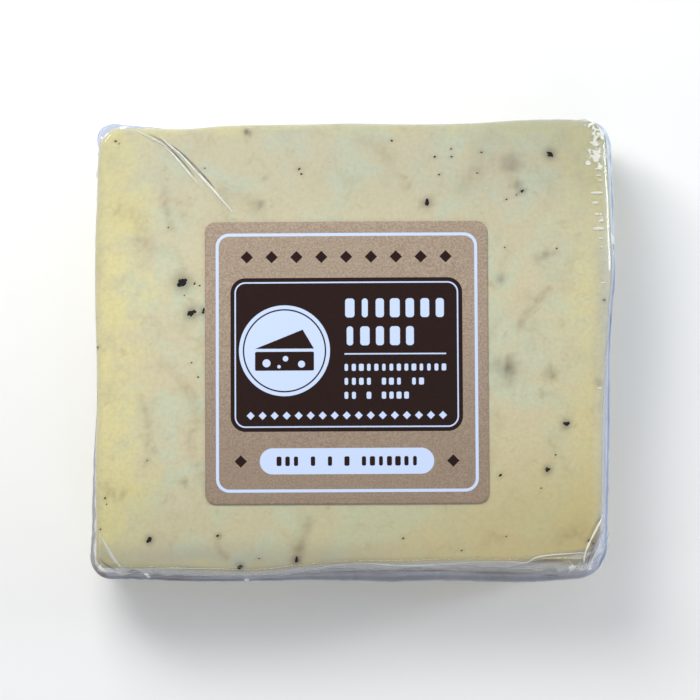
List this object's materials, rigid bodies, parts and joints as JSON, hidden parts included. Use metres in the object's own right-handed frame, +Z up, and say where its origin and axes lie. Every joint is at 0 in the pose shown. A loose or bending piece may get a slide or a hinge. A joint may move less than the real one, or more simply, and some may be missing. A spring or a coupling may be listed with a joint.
{
  "type": "wrapped goat cheese slab",
  "caption": "Flat rectangular slab of truffle-flecked goat cheese in clear sealed film, with a square brown paper label on its face.",
  "frame": {"origin": "middle of the slab's underside", "axes": "+Z up out of the labelled face, +X along the slab's long side, +Y towards the top of the label"},
  "size_m": [0.1072, 0.0943, 0.0245],
  "materials": {
    "wrapped_cheese": "pale yellow cheese under clear glossy film",
    "cheese": "moist semi-hard goat cheese",
    "truffle": "black truffle flecks",
    "film": "thin clear heat-sealed film",
    "label": "printed brown paper sticker"
  },
  "bodies": {
    "root": {"wrapped_cheese": "wrapped_cheese", "label": "label"}
  },
  "joints": []
}
